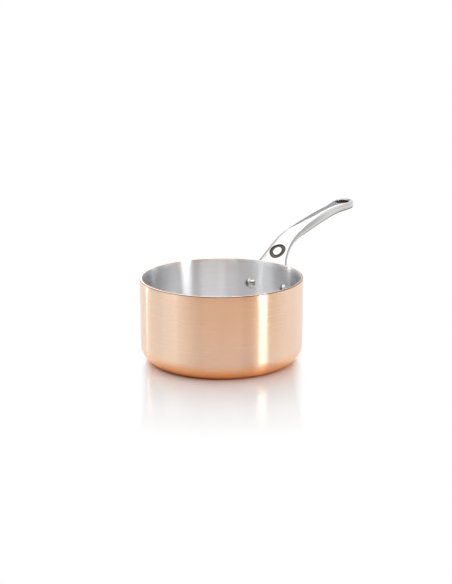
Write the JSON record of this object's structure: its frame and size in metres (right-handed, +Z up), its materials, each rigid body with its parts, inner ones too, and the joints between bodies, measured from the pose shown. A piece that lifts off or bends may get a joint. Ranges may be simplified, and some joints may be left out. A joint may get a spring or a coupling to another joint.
{
  "type": "saucepan",
  "caption": "Copper saucepan with a thin stainless lining and a long curved cast steel handle, riveted on, with a hanging hole in its end.",
  "frame": {"origin": "middle of the underside, on the surface that the pan stands on", "axes": "+Z up out of the mouth, +X along the handle; the plane Y = 0 splits the pan and its handle into mirror halves"},
  "size_m": [0.3169, 0.164, 0.1312],
  "materials": {
    "copper": "polished",
    "lining": "satin",
    "cast_steel": "polished",
    "rivet_steel": "polished"
  },
  "bodies": {
    "root": {"copper_body": "copper", "steel_lining": "lining", "handle": "cast_steel", "rivet_left": "rivet_steel", "rivet_right": "rivet_steel"}
  },
  "joints": []
}
